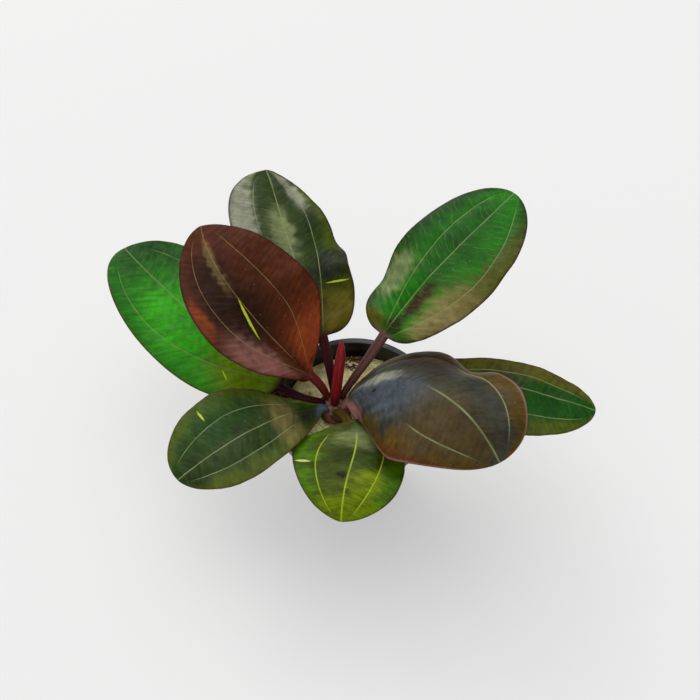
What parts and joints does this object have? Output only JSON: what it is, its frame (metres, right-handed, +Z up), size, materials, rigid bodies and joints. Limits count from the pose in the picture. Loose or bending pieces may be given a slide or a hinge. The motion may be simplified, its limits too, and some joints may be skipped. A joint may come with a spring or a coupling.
{
  "type": "potted echinodorus aquarium plant",
  "caption": "Echinodorus aquarium plant, a rosette of broad veined green, bronze and red-brown leaves on purple stalks, rooted in rockwool in a black slotted net pot.",
  "frame": {"origin": "centre of the pot's flat underside, on the surface it stands on", "axes": "+Z up along the pot's axis; -Y towards the picture's camera and +X to its right, so leaf_right reaches along +X and leaf_front along -Y"},
  "size_m": [0.1584, 0.1123, 0.0892],
  "materials": {
    "pot_black": "black moulded polypropylene, satin, with a greyish rim",
    "rockwool_cream": "rough cream-yellow mineral wool with brown bits of root and peat",
    "crown_brown": "rough brown rootstock with the sheathed feet of the stalks",
    "leaf_bright_green": "smooth bright green leaf, lit through, with pale veins",
    "leaf_green": "satin mid-green leaf with darker middle, pale veins and olive margins",
    "leaf_dark_green": "satin dark green leaf with a grey sheen and pale veins",
    "leaf_red_brown": "satin red-brown leaf with a pinkish sheen and a yellow-green streak",
    "leaf_bronze": "satin bronze-olive leaf with a bluish grey sheen and a pink margin",
    "leaf_crimson": "smooth crimson young leaf, still rolled"
  },
  "bodies": {
    "root": {"net_pot": "pot_black", "rockwool": "rockwool_cream", "crown": "crown_brown", "leaf_far_left": "leaf_bright_green", "leaf_back": "leaf_dark_green", "leaf_red": "leaf_red_brown", "leaf_front_left": "leaf_dark_green", "leaf_arched": "leaf_bronze", "leaf_front": "leaf_green", "leaf_right": "leaf_dark_green", "leaf_back_right": "leaf_green", "leaf_young": "leaf_crimson"}
  },
  "joints": []
}
